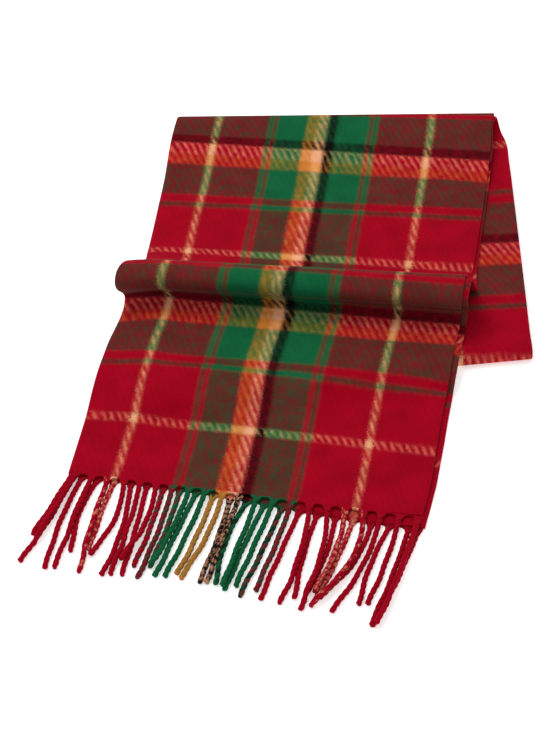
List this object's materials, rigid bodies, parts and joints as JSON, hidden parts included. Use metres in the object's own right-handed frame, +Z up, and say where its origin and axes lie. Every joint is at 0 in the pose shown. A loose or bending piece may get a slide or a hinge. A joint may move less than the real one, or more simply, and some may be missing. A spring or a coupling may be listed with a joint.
{
  "type": "tartan blanket scarf, folded",
  "caption": "Thick woven tartan scarf with a twisted fringe, folded in half lengthwise and laid down in loose turns with one standing wave.",
  "frame": {"origin": "on the table, under the middle of the laid scarf's plan, fringe included", "axes": "+Z up from the table, +Y away from the fringed hem towards the far turn, +X from the lengthwise fold towards the selvedges"},
  "size_m": [0.4662, 0.7102, 0.0646],
  "materials": {
    "tartan_wool": "brushed wool twill, soft nap, tartan of red, green, gold, cream and black",
    "fringe_yarn": "twisted two-ply wool cords in the colours of the warp"
  },
  "bodies": {
    "root": {"scarf_front_stretch": "tartan_wool", "scarf_back_stretch": "tartan_wool", "scarf_under_stretch": "tartan_wool", "scarf_hidden_layers": "tartan_wool", "scarf_upper_fringe": "fringe_yarn", "scarf_lower_fringe": "fringe_yarn"}
  },
  "joints": []
}
